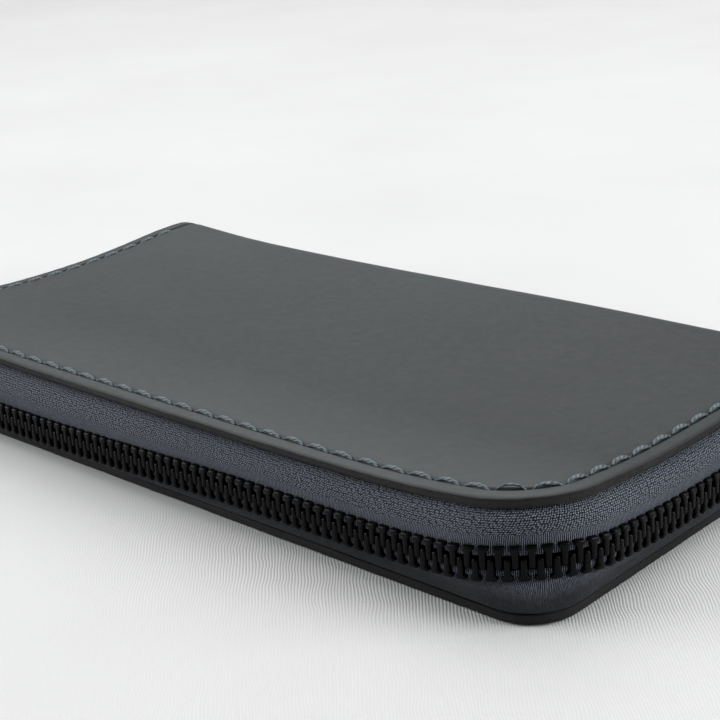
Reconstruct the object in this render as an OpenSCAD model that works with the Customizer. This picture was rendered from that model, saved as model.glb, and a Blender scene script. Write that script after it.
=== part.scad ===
// Zip-around long wallet, lying closed on its lower cover.
// Millimetres. +X runs along the spine, +Y points to the spine, +Z is up.
// The origin is the centre of the lower cover's outer face.
// Everything above the middle is the lower half turned over, see module turned_over().

/* [Wallet] */
// Length along the spine
wallet_l = 190; // [180:1:205]
// Depth from the zip to the back of the spine
wallet_w = 100; // [96:1:110]
// Height when closed, cover to cover
wallet_t = 19; // [19:0.5:24]
// Radius of the two front corners
corner_r = 15; // [13:1:20]
// Thickness of the outer leather
leather_t = 2; // [1.6:0.1:2.2]

/* [Stitching] */
// Stitches along the front, from the middle of one corner to the middle of the other
front_stitches = 30; // [26:1:36]
// Stitches on each side, from the middle of the corner towards the spine
side_stitches = 14; // [10:1:14]
// Distance of the stitch line from the edge of the leather
stitch_inset = 3.7; // [3:0.1:4.5]
// Thickness of the thread
thread_d = 0.9; // [0.6:0.1:1]

/* [Zip] */
// Width of the closed row of teeth
chain_w = 6; // [5.8:0.1:6.2]
// Distance from one tooth to the next on the same tape
tooth_pitch = 2.5; // [2.5:0.1:3]
// Thickness of the zip tape
tape_t = 0.5; // [0.4:0.05:0.6]
// Distance that the tape reaches in under the cover
tape_flange = 9; // [7:0.5:11]
// Distance from the leather's edge out to the middle of the teeth
chain_out = 0.85; // [0.7:0.05:1.2]
// Height of the middle of the teeth above the lower cover's outer face
zip_z = 8; // [7.5:0.25:9.5]
// Where the slider stands when the zip is closed, as a Y position
slider_y = 33; // [30:0.5:33]

/* [Inside] */
// Thickness of the inner panels
panel_t = 0.8; // [0.6:0.1:0.8]
// Thickness of one card pocket's leather
pocket_t = 0.5; // [0.4:0.05:0.5]
// Mouth of the first card pocket, as a Y position
pocket_mouth = -28; // [-32:1:-24]
// Step from one card pocket's mouth to the next
pocket_step = 9; // [8:0.5:10]
// Length of the coin purse
purse_l = 168; // [150:1:170]
// Outer height of the coin purse
purse_t = 5.4; // [5.2:0.1:5.5]
// Thickness of the coin purse's walls
purse_wall = 0.6; // [0.5:0.05:0.6]
// Size of the coin zip against the main zip
coin_scale = 0.75; // [0.7:0.01:0.8]

/* [Hidden] */
$fn = 48;

charcoal = "#3a3f40";
soft_black = "#1c1d1f";
thread_blue = "#6b7f8a";
tape_blue = "#4a4e5e";
inner_grey = "#4b4f52";
lining_blue = "#39404c";
board_grey = "#77756f";

slack = 0.01;
mid_z = wallet_t / 2;
half_l = wallet_l / 2;
front_y = -wallet_w / 2;
corner_y = front_y + corner_r;
spine_r = wallet_t / 2;
spine_y = wallet_w / 2 - spine_r;
// Half the slit between the two halves of the spine, so that they can turn about its back
spine_gap = 0.15;

groove_w = thread_d + 0.7;
groove_depth = thread_d + 0.1;
// Length that each stitch shows, out of its pitch
stitch_share = 0.82;

tape_top = leather_t + tape_t;
panel_top = tape_top + panel_t;
panel_inset = 1.8;
inner_back_y = 34;
panel_back_y = inner_back_y + 2;

// The slot that a card slides into, under each card pocket's leather
pocket_half = 86;
card_slot_t = 0.1;
pocket_seam = 3;

// One tooth, measured across the row from the middle of the closed chain
tooth_thick = 2.4;
tooth_base = 0.85;
tooth_neck = 0.52;
tooth_reach = 0.9;
tooth_jaw = 1.7;
// Play between the tape and the jaws of a tooth or stop, which are straight at the corners
jaw_gap = 0.05;
jaw_w = tape_t + 2 * jaw_gap;
tape_edge = chain_w / 2 - tooth_jaw;
// Height of the middle of the teeth below the upper cover's outer face
upper_h = wallet_t - zip_z;

// The slider, in its own frame: X out of the wallet, Y towards the closed end, Z across the rows
slider_l = 12;
plate_gap = 2.7;
plate_t = 1;
plate_w = 10.6;
flange_z = chain_w / 2 + 0.25;
tape_slot = 1;
pivot_out = plate_gap / 2 + plate_t + 0.7;
pull_bar_d = 1.1;
main_pull_l = 24;
coin_pull_l = 18;
pull_w = 6;
pull_t = 1.2;
bridge_w = 2;

purse_front_y = -30;
purse_low = mid_z - purse_t / 2;
gusset_t = 0.4;
gusset_in = 20;
gusset_out_x = 88;
gusset_front_y = -20;
coin_chain_y = purse_front_y - 2;
coin_half = purse_l / 2 - 8;
coin_slider_x = coin_half - 3.1 - slider_l * coin_scale / 2;
// The coin zip stands in a mouth just taller than its slider's plates
coin_tape_t = tape_t * coin_scale;
mouth_half = (plate_w / 2 + 0.2) * coin_scale;

// ---- Frames and paths ----

// The lower half's shapes, turned over to make the upper half
module turned_over() {
    translate([0, 0, wallet_t]) mirror([0, 0, 1]) children();
}

// Length of the path that runs round the edge at a distance out from it, from the
// right end of the spine over both front corners to the left end
function side_run() = spine_y - corner_y;
function arc_len(out) = (corner_r + out) * PI / 2;
function front_run() = wallet_l - 2 * corner_r;
function path_len(out) = 2 * side_run() + 2 * arc_len(out) + front_run();

// Point on that path after s millimetres, as [x, y, direction of the outward normal]
function path_at(s, out) =
    s > path_len(out) / 2 ? left_of(path_at(path_len(out) - s, out)) :
    s < side_run() ? [half_l + out, spine_y - s, 0] :
    s < side_run() + arc_len(out) ? corner_at((s - side_run()) / arc_len(out) * 90, out) :
    [half_l - corner_r - (s - side_run() - arc_len(out)), front_y - out, -90];
function corner_at(turn, out) = [
    half_l - corner_r + (corner_r + out) * cos(turn),
    corner_y - (corner_r + out) * sin(turn),
    -turn
];
function left_of(p) = [-p[0], p[1], 180 - p[2]];

module on_path(s, out) {
    p = path_at(s, out);
    translate([p[0], p[1], 0]) rotate([0, 0, p[2]]) children();
}

// A profile drawn as [distance out from the edge, height], carried down the right
// side, round the corners, along the front and up the left side
module swept_side(extra = 0) {
    translate([half_l, spine_y + extra, 0]) rotate([90, 0, 0])
        linear_extrude(side_run() + extra) children();
}
module swept_corner() {
    translate([half_l - corner_r, corner_y, 0]) rotate([0, 0, -90])
        rotate_extrude(angle = 90) translate([corner_r, 0]) children();
}
module swept_front() {
    translate([half_l - corner_r, front_y, 0]) rotate([90, 0, -90])
        linear_extrude(front_run()) children();
}
module swept(extra = 0) {
    swept_front() children();
    for (side = [0, 1]) mirror([side, 0, 0]) {
        swept_side(extra) children();
        swept_corner() children();
    }
}

// The outline of a cover, drawn in from its edge, back to a given Y
module outline(inset, back_y) {
    translate([inset - half_l, corner_y]) square([wallet_l - 2 * inset, back_y - corner_y]);
    translate([corner_r - half_l, front_y + inset])
        square([wallet_l - 2 * corner_r, corner_r - inset + slack]);
    for (side = [-1, 1]) translate([side * (half_l - corner_r), corner_y])
        circle(corner_r - inset);
}

// ---- Outer leather and its stitching ----

module groove_profile() {
    translate([-stitch_inset - groove_w / 2, -slack]) square([groove_w, groove_depth + slack]);
}

module cover() {
    color(charcoal) difference() {
        linear_extrude(leather_t) outline(0, spine_y);
        swept() groove_profile();
    }
}

// A quarter of the tube that the leather makes at the spine
module spine_quarter() {
    color(charcoal) translate([-half_l, spine_y, mid_z]) rotate([90, 0, 90])
        linear_extrude(wallet_l) intersection() {
            difference() {
                circle(spine_r);
                circle(spine_r - leather_t);
            }
            translate([0, -spine_r - 1]) square([spine_r + 1, spine_r + 1 - spine_gap]);
        }
}

module stitching() {
    out = -stitch_inset;
    corner_mid = side_run() + arc_len(out) / 2;
    pitch = (path_len(out) - 2 * corner_mid) / front_stitches;
    stitch_l = pitch * stitch_share;
    color(thread_blue)
        for (i = [-side_stitches : front_stitches + side_stitches - 1])
            on_path(corner_mid + (i + 0.5) * pitch, out)
                translate([0, stitch_l / 2, thread_d / 2 + 0.05]) rotate([90, 0, 0])
                    cylinder(d = thread_d, h = stitch_l);
}

// ---- Zip tape and teeth ----
// h is the height of the middle of the teeth above the cover's outer face on that side

module tape_profile(h) {
    translate([-tape_flange, leather_t])
        square([tape_flange + chain_out + tape_t / 2, tape_t]);
    translate([chain_out - tape_t / 2, leather_t])
        square([tape_t, h - tape_edge - leather_t]);
}

module tape(h) {
    end_l = 2;
    end_w = 3;
    color(tape_blue) {
        swept() tape_profile(h);
        // The end of the tape beyond the teeth, which carries the stops
        for (side = [0, 1]) mirror([side, 0, 0])
            translate([half_l, spine_y + end_l, 0]) rotate([90, 0, 0]) linear_extrude(end_l)
                translate([chain_out - tape_t / 2, h - tape_edge - end_w])
                    square([tape_t, end_w]);
    }
}

// One tooth of the lower row: X through the tape, Y along the row, Z up from its middle.
// It clamps the edge of the tape from below.
module tooth() {
    low = -chain_w / 2;
    difference() {
        translate([-tooth_thick / 2, 0, 0]) rotate([90, 0, 90]) linear_extrude(tooth_thick)
            polygon([
                [-tooth_base, low], [tooth_base, low], [tooth_base, low + 1.1],
                [tooth_neck, -tooth_reach], [tooth_neck, tooth_reach - 0.25],
                [tooth_neck - 0.2, tooth_reach], [0.2 - tooth_neck, tooth_reach],
                [-tooth_neck, tooth_reach - 0.25], [-tooth_neck, -tooth_reach],
                [-tooth_base, low + 1.1]
            ]);
        translate([-jaw_w / 2, -2, low - 1]) cube([jaw_w, 4, tooth_jaw + 1]);
    }
}

// Teeth on the lower tape whose place s along the path is in a given stretch.
// shift moves the row by a share of its pitch
chain_start = spine_y - slider_y + 0.5;
chain_end = path_len(chain_out) - 9;
chain_count = floor((chain_end - chain_start) / tooth_pitch);
module teeth(h, from, to, shift) {
    color(soft_black)
        for (i = [0 : chain_count])
            let (s = chain_start + (i + shift) * tooth_pitch)
                if (s >= from && s < to)
                    on_path(s, chain_out) translate([0, 0, h]) tooth();
}
// The slider's straight run ends where the corner begins
run_end = side_run();

// A stop clamped on the edge of one tape, just past the slider
module top_stop(h) {
    color(soft_black)
        translate([half_l + chain_out, slider_y + slider_l / 2 + 0.3, h])
            difference() {
                translate([-1.1, 0, -chain_w / 2]) cube([2.2, 1.6, chain_w / 2 - 0.9]);
                translate([-jaw_w / 2, -1, -chain_w / 2 - 1])
                    cube([jaw_w, 4, tooth_jaw + 1]);
            }
}

// The block that joins both tapes at the end where the zip opens
module bottom_stop() {
    stop_l = 4;
    color(soft_black) translate([-half_l - chain_out, spine_y - 4.5, zip_z])
        difference() {
            translate([-1.4, -stop_l / 2, -2.9]) cube([2.8, stop_l, 5.8]);
            for (up = [0, 1]) mirror([0, 0, up])
                translate([-jaw_w / 2, -stop_l, -4]) cube([jaw_w, 2 * stop_l, 4 - tape_edge]);
        }
}

// ---- Slider and pull, in the slider's frame ----

module slider_plate() {
    tail = -slider_l / 2;
    nose = slider_l / 2;
    waist = plate_w / 2 - 0.8;
    rotate([90, 0, 90]) linear_extrude(plate_t) polygon([
        [tail, -waist + 0.4], [tail + 1, -waist], [1, -waist], [nose - 1.5, -plate_w / 2],
        [nose, -waist - 0.1], [nose, waist + 0.1], [nose - 1.5, plate_w / 2], [1, waist],
        [tail + 1, waist], [tail, waist - 0.4]
    ]);
}

module slider_body() {
    half_gap = plate_gap / 2;
    color(soft_black) {
        for (inner = [0, 1]) mirror([inner, 0, 0]) {
            translate([half_gap, 0, 0]) slider_plate();
            for (down = [0, 1]) mirror([0, 0, down])
                translate([tape_slot / 2, -slider_l / 2 + 1, flange_z])
                    cube([half_gap - tape_slot / 2 + slack, slider_l - 3, 1.1]);
        }
        // The wedge that parts the two rows
        translate([-half_gap - slack, 0, 0]) rotate([90, 0, 90])
            linear_extrude(plate_gap + 2 * slack)
                polygon([[2, -0.2], [4.4, -1.1], [5.6, -0.6], [5.6, 0.6], [4.4, 1.1], [2, 0.2]]);
    }
}

module slider_bridge() {
    foot = plate_gap / 2 + plate_t;
    color(soft_black) translate([foot, 0, -bridge_w / 2]) linear_extrude(bridge_w)
        difference() {
            polygon([[0, -4.1], [1.3, -4.1], [2.5, -2.9], [2.5, 2.9], [1.3, 4.1], [0, 4.1]]);
            translate([-slack, -2]) square([1.45, 4]);
        }
}

module pull(pull_l) {
    color(soft_black) translate([pivot_out, 0, 0]) {
        translate([0, 0, -pull_w / 2]) cylinder(d = pull_bar_d, h = pull_w);
        difference() {
            translate([-pull_t / 2, -pull_l, -pull_w / 2]) cube([pull_t, pull_l, pull_w]);
            translate([-pull_t, -5.1, -1.35]) cube([2 * pull_t, 5.2, 2.7]);
            translate([-pull_t, -pull_l + 4, 0]) rotate([0, 90, 0])
                cylinder(d = 3, h = 2 * pull_t);
        }
    }
}

module at_main_slider() {
    translate([half_l + chain_out, slider_y, zip_z]) children();
}
module at_coin_slider() {
    translate([coin_slider_x, coin_chain_y, mid_z]) rotate([0, 0, -90])
        scale(coin_scale) children();
}

// ---- Stiffeners, inner panels, card pockets and gussets ----

// A board as thick as the tape, which fills the space inside it under the cover
module stiffener() {
    color(board_grey) translate([0, 0, leather_t]) linear_extrude(tape_t)
        outline(tape_flange + 0.5, panel_back_y);
}

module panel() {
    color(inner_grey) translate([0, 0, tape_top]) linear_extrude(panel_t)
        outline(panel_inset, panel_back_y);
}

// One row of card pockets, a strip of leather sewn down at its ends, middle and back,
// so that it leaves a slot for a card on the left and one on the right
module card_pocket(i) {
    mouth_y = pocket_mouth + i * pocket_step;
    depth = inner_back_y - mouth_y;
    layer = pocket_t + card_slot_t;
    color(inner_grey) translate([0, mouth_y, panel_top + i * layer]) difference() {
        translate([-pocket_half, 0, 0]) cube([2 * pocket_half, depth, layer]);
        for (side = [0, 1]) mirror([side, 0, 0])
            translate([pocket_seam / 2, -slack, -slack])
                cube([pocket_half - 1.5 * pocket_seam, depth - pocket_seam, card_slot_t + slack]);
    }
}

// A folded strip that joins the card pockets to the coin purse at one end
module gusset() {
    low = panel_top + 4 * (pocket_t + card_slot_t);
    color(lining_blue) translate([gusset_out_x - gusset_in, gusset_front_y, low])
        rotate([90, 0, 0]) mirror([0, 0, 1])
            linear_extrude(inner_back_y - gusset_front_y)
                polygon([
                    [0, 0], [gusset_in, 0], [gusset_in, gusset_t], [gusset_t, gusset_t],
                    [gusset_t, gusset_t + 0.2], [gusset_in - 4, gusset_t + 0.2],
                    [gusset_in - 4, 2 * gusset_t + 0.2], [0, 2 * gusset_t + 0.2]
                ]);
}

// ---- Coin purse ----

// One wall, with a lip at its front that carries the coin zip's tape
module purse_sheet() {
    lip_low = mid_z - mouth_half - coin_tape_t;
    color(lining_blue) translate([-purse_l / 2, purse_front_y, 0]) {
        translate([0, 0, purse_low])
            cube([purse_l, inner_back_y - purse_front_y, purse_wall]);
        translate([0, 0, lip_low])
            cube([purse_l, purse_wall, purse_low + purse_wall - lip_low]);
    }
}

module purse_bottom() {
    color(lining_blue)
        translate([-purse_l / 2, inner_back_y - purse_wall, purse_low + purse_wall])
            cube([purse_l, purse_wall, purse_t - 2 * purse_wall]);
}

module purse_side() {
    color(lining_blue)
        translate([purse_l / 2 - purse_wall, purse_front_y, purse_low + purse_wall])
            cube([purse_wall, inner_back_y - purse_wall - purse_front_y, purse_t - 2 * purse_wall]);
}

module coin_tape() {
    low = mid_z - mouth_half - coin_tape_t;
    edge = mid_z - tape_edge * coin_scale;
    front = coin_chain_y - coin_tape_t / 2;
    color(tape_blue) translate([-purse_l / 2, front, low]) {
        cube([purse_l, purse_front_y - front, coin_tape_t]);
        cube([purse_l, coin_tape_t, edge - low]);
    }
}

coin_pitch = tooth_pitch * coin_scale;
coin_count = floor((2 * coin_half - 16) / coin_pitch);
module coin_teeth(shift) {
    color(soft_black)
        for (i = [0 : coin_count])
            translate([6 - coin_half + (i + shift) * coin_pitch, coin_chain_y, mid_z])
                rotate([0, 0, -90]) scale(coin_scale) tooth();
}

// The blocks at both ends of the coin zip
module coin_stops() {
    color(soft_black)
        for (side = [-1, 1]) translate([side * (coin_half - 1.8), coin_chain_y, mid_z])
            difference() {
                cube([2, 2, 3.6], center = true);
                for (up = [0, 1]) mirror([0, 0, up])
                    translate([-2, -jaw_w * coin_scale / 2, tape_edge * coin_scale])
                        cube([4, jaw_w * coin_scale, 3]);
            }
}

// ---- Nodes ----

cover();  // cover_lower
spine_quarter();  // spine_lower
stitching();  // stitching_lower
tape(zip_z);  // zip_tape_lower
teeth(zip_z, run_end, chain_end, 0.5);  // zip_teeth_lower
teeth(zip_z, 0, run_end, 0.5);  // zip_teeth_lower_run
top_stop(zip_z);  // zip_top_stop_lower
bottom_stop();  // zip_bottom_stop
stiffener();  // stiffener_lower
panel();  // panel_lower
card_pocket(0);  // card_pocket_lower_1
card_pocket(1);  // card_pocket_lower_2
card_pocket(2);  // card_pocket_lower_3
card_pocket(3);  // card_pocket_lower_4
gusset();  // gusset_right_lower
mirror([1, 0, 0]) gusset();  // gusset_left_lower

turned_over() cover();  // cover_upper
turned_over() spine_quarter();  // spine_upper
turned_over() stitching();  // stitching_upper
turned_over() tape(upper_h);  // zip_tape_upper
turned_over() teeth(upper_h, run_end, chain_end, 0);  // zip_teeth_upper
turned_over() teeth(upper_h, 0, run_end, 0);  // zip_teeth_upper_run
turned_over() top_stop(upper_h);  // zip_top_stop_upper
turned_over() stiffener();  // stiffener_upper
turned_over() panel();  // panel_upper
turned_over() card_pocket(0);  // card_pocket_upper_1
turned_over() card_pocket(1);  // card_pocket_upper_2
turned_over() card_pocket(2);  // card_pocket_upper_3
turned_over() card_pocket(3);  // card_pocket_upper_4
turned_over() gusset();  // gusset_right_upper
turned_over() mirror([1, 0, 0]) gusset();  // gusset_left_upper

purse_sheet();  // purse_wall_lower
turned_over() purse_sheet();  // purse_wall_upper
purse_bottom();
purse_side();  // purse_side_right
mirror([1, 0, 0]) purse_side();  // purse_side_left
coin_tape();  // coin_tape_lower
turned_over() coin_tape();  // coin_tape_upper
coin_teeth(0.5);  // coin_teeth_lower
turned_over() coin_teeth(0);  // coin_teeth_upper
coin_stops();

at_main_slider() slider_body();  // zip_slider_body
at_main_slider() slider_bridge();  // zip_slider_bridge
at_main_slider() pull(main_pull_l);  // zip_pull
at_coin_slider() slider_body();  // coin_slider_body
at_coin_slider() slider_bridge();  // coin_slider_bridge
at_coin_slider() pull(coin_pull_l);  // coin_pull
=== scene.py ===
"""A closed zip-around long wallet in charcoal leather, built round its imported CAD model.

Lengths in this script are millimetres, and become metres as each mesh is made.
"""

import math

import bmesh
import bpy
from mathutils import Matrix, Vector, noise
from mathutils.geometry import delaunay_2d_cdt


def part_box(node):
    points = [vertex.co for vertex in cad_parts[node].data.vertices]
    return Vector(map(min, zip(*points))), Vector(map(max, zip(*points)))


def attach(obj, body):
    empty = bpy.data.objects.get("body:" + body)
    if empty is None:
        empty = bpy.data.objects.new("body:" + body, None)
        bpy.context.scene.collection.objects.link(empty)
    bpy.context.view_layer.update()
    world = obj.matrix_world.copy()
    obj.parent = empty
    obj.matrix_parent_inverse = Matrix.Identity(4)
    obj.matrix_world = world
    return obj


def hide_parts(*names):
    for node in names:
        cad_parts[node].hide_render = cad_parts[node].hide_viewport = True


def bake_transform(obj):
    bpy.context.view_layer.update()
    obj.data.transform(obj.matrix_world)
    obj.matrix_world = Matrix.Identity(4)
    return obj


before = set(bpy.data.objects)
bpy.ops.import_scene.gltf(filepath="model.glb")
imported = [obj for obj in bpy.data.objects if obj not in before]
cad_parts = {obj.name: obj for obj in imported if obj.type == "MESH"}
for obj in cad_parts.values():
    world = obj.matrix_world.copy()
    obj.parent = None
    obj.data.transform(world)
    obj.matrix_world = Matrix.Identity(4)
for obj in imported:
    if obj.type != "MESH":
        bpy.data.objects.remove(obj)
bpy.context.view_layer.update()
MM = 0.001


# ---- Sizes, from the frame where it holds them ----

def box_mm(node):
    low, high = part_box(node)
    return low / MM, high / MM


COVER_LOW, COVER_HIGH = box_mm("cover_lower")
HALF_L = COVER_HIGH.x
FRONT_Y = COVER_LOW.y
SPINE_Y = COVER_HIGH.y
LEATHER = COVER_HIGH.z
TOP = box_mm("cover_upper")[1].z
MID = TOP / 2
SPINE_R = TOP / 2
PANEL_LOW, PANEL_HIGH = box_mm("panel_lower")
TAPE_T = PANEL_LOW.z - LEATHER

CHAIN_W = 6.0
ZIP_Z = box_mm("zip_teeth_lower")[0].z + CHAIN_W / 2
CHAIN_OUT = box_mm("zip_teeth_lower_run")[1].x - HALF_L - 1.2
TOOTH_PITCH = 2.5

# A half of the wallet is chosen by the truth value upper, which also picks from these pairs
NAMES = ("lower", "upper")
# The corner of the lower cover is sharper than that of the upper one, which curls up
COVER_RADIUS = (9.5, 15.0)
# The chain takes the corner more gently than either
RADIUS_CHAIN = 17.5
STITCH_INSET = 3.7
STITCH_PITCH = 5.97
SPINE_ARC = math.pi / 2 * SPINE_R


# ---- The way the closed wallet is bent ----

def bell(distance, spread):
    return math.exp(-0.5 * (distance / spread) ** 2)


def smooth(low, high, value):
    t = min(max((value - low) / (high - low), 0.0), 1.0)
    return t * t * (3 - 2 * t)


def bend(p):
    """Moves a point of the straight wallet to its place in the worn one."""
    x, y, z = p
    corner_right = math.hypot(x - HALF_L + 2, y - FRONT_Y - 3)
    corner_left = math.hypot(x + HALF_L - 2, y - FRONT_Y - 3)
    above = smooth(2.4, 5.0, z)
    lift = 2.5 * bell(corner_right, 14.5) + 1.3 * bell(corner_left, 15)
    # The front edge sags a little between its corners
    front = bell(y - FRONT_Y, 14)
    sag = 0.45 * front * smooth(80, 20, abs(x)) * smooth(8, 17, z)
    # The far end dips in the middle, and its corner at the spine stands up
    top = smooth(8, 17, z)
    dip = 0.9 * bell(x + HALF_L, 14) * bell(y + 2, 24) * top
    peak = 1.7 * bell(math.hypot(x + HALF_L, y - SPINE_Y), 15) * top
    return Vector((x, y, z + lift * above - sag - dip + peak))


def chain_height(x, y):
    """Height of the middle of the teeth before bend(): the front run sinks towards the left."""
    sink = 2.0 * smooth(45, -40, x) * bell(y - FRONT_Y, 25)
    corner = 0.12 * bell(math.hypot(x - HALF_L + 4, y - FRONT_Y - 4), 11)
    return ZIP_Z - sink - corner


# ---- Meshes ----

def new_object(name, data):
    obj = bpy.data.objects.new(name, data)
    bpy.context.scene.collection.objects.link(obj)
    return obj


def make(name, verts, faces, material, uvs=None):
    """A smooth mesh object from millimetre points; uvs are one pair per point, in millimetres too."""
    mesh = bpy.data.meshes.new(name)
    mesh.from_pydata([tuple(Vector(v) * MM) for v in verts], [], faces)
    mesh.materials.append(material)
    if uvs:
        layer = mesh.uv_layers.new(name="UVMap")
        for loop in mesh.loops:
            layer.data[loop.index].uv = uvs[loop.vertex_index]
    mesh.polygons.foreach_set("use_smooth", [True] * len(mesh.polygons))
    mesh.validate()
    mesh.update()
    return new_object(name, mesh)


def fix_normals(obj):
    """Turns every face of a mesh the same way, outwards."""
    mesh = bmesh.new()
    mesh.from_mesh(obj.data)
    bmesh.ops.recalc_face_normals(mesh, faces=mesh.faces)
    mesh.to_mesh(obj.data)
    mesh.free()


def place_piece(obj, slot_name, body, *replaced):
    """Gives a finished piece its body and hides the CAD nodes that it stands for; slot_name is not used.
    """
    if replaced:
        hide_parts(*replaced)
    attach(obj, body)


def grid_faces(rows, cols, closed=False):
    """Faces between the neighbours of a grid of points, whose columns may close into a ring."""
    faces = []
    for i in range(rows - 1):
        for j in range(cols if closed else cols - 1):
            a, b = i * cols + j, i * cols + (j + 1) % cols
            faces.append((a, b, b + cols, a + cols))
    return faces


def tube_faces(rows, size):
    """Faces of a tube made of rings of points, with a cap at each end."""
    faces = grid_faces(rows, size, closed=True)
    return faces + [tuple(reversed(range(size))), tuple(range((rows - 1) * size, rows * size))]


def swept(rows):
    """Points and faces of a closed strip: each row of points goes along its outer face and back
    along its inner one."""
    size = len(rows[0])
    faces = grid_faces(len(rows), size, closed=True)
    for first in (0, (len(rows) - 1) * size):
        faces += [(first + k, first + k + 1, first + size - 2 - k, first + size - 1 - k)
                  for k in range(size // 2 - 1)]
    return [point for row in rows for point in row], faces


class Builder:
    """Collects the points and faces of many small solids into one mesh."""

    def __init__(self):
        self.verts = []
        self.faces = []
        self.uvs = []

    def add(self, verts, faces, uvs=None):
        first = len(self.verts)
        self.verts.extend(verts)
        self.faces.extend(tuple(first + i for i in face) for face in faces)
        self.uvs.extend(uvs or [(0.0, 0.0)] * len(verts))

    def finish(self, name, material, turned=False, with_uvs=False):
        """Makes the mesh, mirrored into the wallet's upper half if turned."""
        if turned:
            self.verts = [Vector((x, y, TOP - z)) for x, y, z in self.verts]
            self.faces = [face[::-1] for face in self.faces]
        return make(name, self.verts, self.faces, material, self.uvs if with_uvs else None)


# ---- Materials ----

class Tree:
    """The node tree of a new material or world, with a short name for each kind of node.
    Wherever a value is expected, another node's socket may stand instead."""

    def __init__(self, name, home=bpy.data.materials):
        self.owner = home.new(name)
        self.owner.use_nodes = True
        self.nodes = self.owner.node_tree.nodes

    def put(self, socket, value):
        if isinstance(value, bpy.types.NodeSocket):
            self.owner.node_tree.links.new(value, socket)
        else:
            socket.default_value = value

    def shade(self, **values):
        """Sets the shader's inputs, base_color its Base Color and so on, and gives the material."""
        for name, value in values.items():
            words = " ".join("IOR" if word == "ior" else word.title() for word in name.split("_"))
            self.put(self.nodes["Principled BSDF"].inputs[words], value)
        return self.owner

    def add(self, kind, inputs=None, **settings):
        made = self.nodes.new("ShaderNode" + kind)
        for key, value in settings.items():
            setattr(made, key, value)
        for key, value in (inputs or {}).items():
            self.put(made.inputs[key], value)
        return made.outputs

    def where(self):
        """Object coordinates in millimetres."""
        return self.vector("MULTIPLY", self.add("TexCoord")["Object"], (1000, 1000, 1000))

    def uv(self):
        return self.add("TexCoord")["UV"]

    def vector(self, operation, a, b, output="Vector"):
        return self.add("VectorMath", {0: a, 1: b}, operation=operation)[output]

    def parts(self, vector):
        return self.add("SeparateXYZ", {0: vector})

    def noise(self, where, scale, detail=3.0, roughness=0.55):
        return self.add("TexNoise", {"Vector": where, "Scale": scale, "Detail": detail,
                                     "Roughness": roughness})["Fac"]

    def math(self, operation, a, b=0.0):
        return self.add("Math", {0: a, 1: b}, operation=operation)[0]

    def sum(self, a, b):
        return self.math("ADD", a, b)

    def product(self, a, b):
        return self.math("MULTIPLY", a, b)

    def wave(self, distance, pitch):
        """A wave from 0 to 1 along a distance in millimetres."""
        turn = self.product(distance, 2 * math.pi / pitch)
        return self.scaled(self.math("SINE", turn), -1, 1, 0, 1)

    def blend(self, a, share_a, b, share_b):
        """The weighted sum of two values."""
        return self.sum(self.product(a, share_a), self.product(b, share_b))

    def ramp(self, value, stops):
        made = self.add("ValToRGB", {"Fac": value})["Color"]
        elements = made.node.color_ramp.elements
        for element, (place, colour) in zip(elements, stops):
            element.position = place
            element.color = (*colour, 1.0)
        for place, colour in stops[len(elements):]:
            elements.new(place).color = (*colour, 1.0)
        return made

    def scaled(self, value, low, high, to_low, to_high):
        return self.add("MapRange", {"Value": value, "From Min": low, "From Max": high,
                                     "To Min": to_low, "To Max": to_high})["Result"]

    def bump(self, height, strength, distance, **normal):
        return self.add("Bump", {"Height": height, "Strength": strength, "Distance": distance,
                                 **normal})["Normal"]

    def mix(self, share, low, high):
        """A mix of two values, or of two colours where high is one of four numbers."""
        is_colour = isinstance(high, tuple) or high.type == "RGBA"
        made = self.nodes.new("ShaderNodeMix")
        made.data_type = "RGBA" if is_colour else "FLOAT"
        first = 6 if is_colour else 2
        for place, value in ((0, share), (first, low), (first + 1, high)):
            self.put(made.inputs[place], value)
        return made.outputs[2 if is_colour else 0]

    def attribute(self, name):
        return self.add("Attribute", attribute_name=name)["Fac"]


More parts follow.
